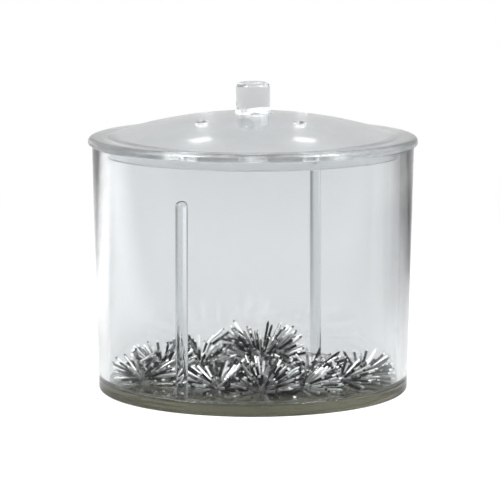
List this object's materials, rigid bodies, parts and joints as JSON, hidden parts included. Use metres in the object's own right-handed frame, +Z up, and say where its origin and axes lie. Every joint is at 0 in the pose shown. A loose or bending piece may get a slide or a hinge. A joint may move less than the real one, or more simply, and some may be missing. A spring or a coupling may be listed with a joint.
{
  "type": "magnetic pin canister",
  "caption": "Round clear canister with a lift-off domed lid and knob, holding tufts of short steel pins that stand on small disc magnets.",
  "frame": {"origin": "centre of the underside of the floor disc, on the canister's axis", "axes": "+Z up along the axis towards the lid's knob; -Y towards the front post's side"},
  "size_m": [0.1024, 0.1024, 0.0961],
  "materials": {
    "clear_acrylic": "clear, polished, with fine scuffs",
    "tinted_acrylic": "clear sheet, olive-grey at its edge",
    "magnet_plating": "nickel-plated, satin",
    "pin_steel": "drawn steel wire, bright"
  },
  "bodies": {
    "canister": {"canister_wall": "clear_acrylic", "floor_disc": "tinted_acrylic", "front_post": "clear_acrylic", "back_post": "clear_acrylic", "disc_magnets": "magnet_plating", "pins_left": "pin_steel", "pins_left_inner": "pin_steel", "pins_back_left": "pin_steel", "pins_back": "pin_steel", "pins_front_left": "pin_steel", "pins_front": "pin_steel", "pins_front_right": "pin_steel", "pins_right_inner": "pin_steel", "pins_right": "pin_steel", "pins_far_right": "pin_steel"},
    "lid": {"lid_dome": "clear_acrylic", "locating_ring": "clear_acrylic", "lid_knob": "clear_acrylic"}
  },
  "joints": [
    {"name": "lid_lift", "type": "slide", "parent": "canister", "child": "lid", "axis": [0, 0, 1], "range_m": [0, 0.1]}
  ]
}
